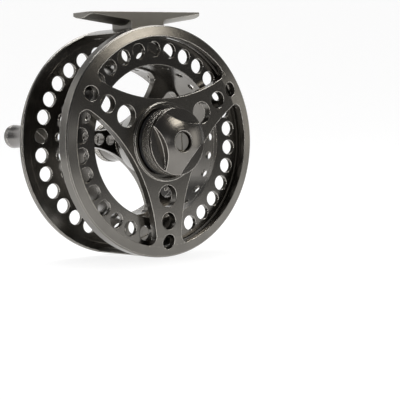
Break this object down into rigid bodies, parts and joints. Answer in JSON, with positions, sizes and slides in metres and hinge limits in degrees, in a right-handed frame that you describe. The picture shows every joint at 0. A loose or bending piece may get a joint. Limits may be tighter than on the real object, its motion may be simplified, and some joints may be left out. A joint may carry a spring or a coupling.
{
  "type": "fly reel",
  "caption": "Large arbor fly reel with a half frame, disc drag with a front knob, perforated spool with a turning handle, and a rod foot.",
  "frame": {"origin": "centre of the foot's seat face, where the reel meets the rod", "axes": "+Z out of the seat face towards the rod, +X along the rod, +Y along the spin axis towards the handle side"},
  "size_m": [0.095, 0.0679, 0.1009],
  "materials": {
    "gunmetal_frame": "gunmetal anodised, fine turned satin",
    "gunmetal_foot": "gunmetal anodised, satin",
    "gunmetal_spool": "gunmetal anodised, fine turned satin, polished drum",
    "gunmetal_knob": "gunmetal anodised, satin dome, knurled grip",
    "gunmetal_grip": "gunmetal anodised, satin",
    "steel": "turned stainless steel",
    "spring_steel": "spring steel",
    "bearing_steel": "ground and polished",
    "brass": "turned brass",
    "carbon": "woven carbon fibre, dry",
    "rubber": "matt nitrile rubber",
    "nylon": "black nylon"
  },
  "bodies": {
    "frame": {"frame_ring": "gunmetal_frame", "frame_spokes_plate": "gunmetal_frame", "drag_cup": "gunmetal_frame", "frame_pillars": "gunmetal_frame", "foot": "gunmetal_foot", "foot_screws": "steel", "spindle": "steel", "spindle_nut": "steel", "drag_discs": "carbon", "back_plate": "steel", "retaining_ring": "spring_steel", "drag_cover": "gunmetal_frame", "cover_seal": "rubber", "click_spring": "spring_steel", "knob_screw": "steel"},
    "press": {"push_ring": "steel", "push_pins": "steel", "pressure_plate": "steel", "drag_spring": "spring_steel"},
    "knob": {"drag_knob": "gunmetal_knob", "knob_insert": "brass", "knob_seal": "rubber"},
    "rotor": {"drag_rotor": "steel", "rotor_bushes": "brass"},
    "carrier": {"bearing_inner_ring": "bearing_steel"},
    "cap": {"spool_cap": "gunmetal_knob", "cap_seal": "rubber"},
    "spool": {"spool_front_flange": "gunmetal_spool", "spool_drum": "gunmetal_spool", "spool_rear_flange": "gunmetal_spool", "spool_hub": "gunmetal_spool", "click_ring": "steel", "clutch_shell": "bearing_steel", "clutch_rollers": "bearing_steel", "bearing_outer_ring": "bearing_steel", "bearing_balls": "bearing_steel", "bearing_cage": "brass", "handle_post": "steel", "handle_screw": "steel", "handle_washer": "nylon", "handle_end_screw": "steel"},
    "handle": {"handle_grip": "gunmetal_grip"},
    "click": {"click_pin": "steel"}
  },
  "joints": [
    {"name": "drag_press", "type": "slide", "parent": "frame", "child": "press", "axis": [0, 1, 0], "range_m": [0, 0.0006]},
    {"name": "drag_knob_turn", "type": "hinge", "parent": "press", "child": "knob", "pos_m": [0, -0.02, -0.0534], "axis": [0, 1, 0], "range_deg": [0, 270]},
    {"name": "drag_rotor_spin", "type": "hinge", "parent": "frame", "child": "rotor", "pos_m": [0, 0, -0.0534], "axis": [0, 1, 0], "continuous": true},
    {"name": "spool_release", "type": "slide", "parent": "frame", "child": "carrier", "axis": [0, 1, 0], "range_m": [0, 0.04]},
    {"name": "spool_spin", "type": "hinge", "parent": "carrier", "child": "spool", "pos_m": [0, 0, -0.0534], "axis": [0, 1, 0], "continuous": true},
    {"name": "cap_turn", "type": "hinge", "parent": "carrier", "child": "cap", "pos_m": [0, 0.022, -0.0534], "axis": [0, 1, 0], "range_deg": [0, 1080]},
    {"name": "handle_spin", "type": "hinge", "parent": "spool", "child": "handle", "pos_m": [-0.03772, 0.03, -0.04944], "axis": [0, 1, 0], "continuous": true},
    {"name": "click_push", "type": "slide", "parent": "frame", "child": "click", "axis": [0, 1, 0], "range_m": [0, 0.00055], "stiffness_N_per_m": 400, "springref_m": 0.0009, "deforming": ["click_spring"]}
  ],
  "couplings": [
    {"joint": "drag_knob_turn", "follows": "drag_press", "rad_per_m": 7854},
    {"joint": "drag_rotor_spin", "follows": "spool_spin", "ratio": 1}
  ]
}
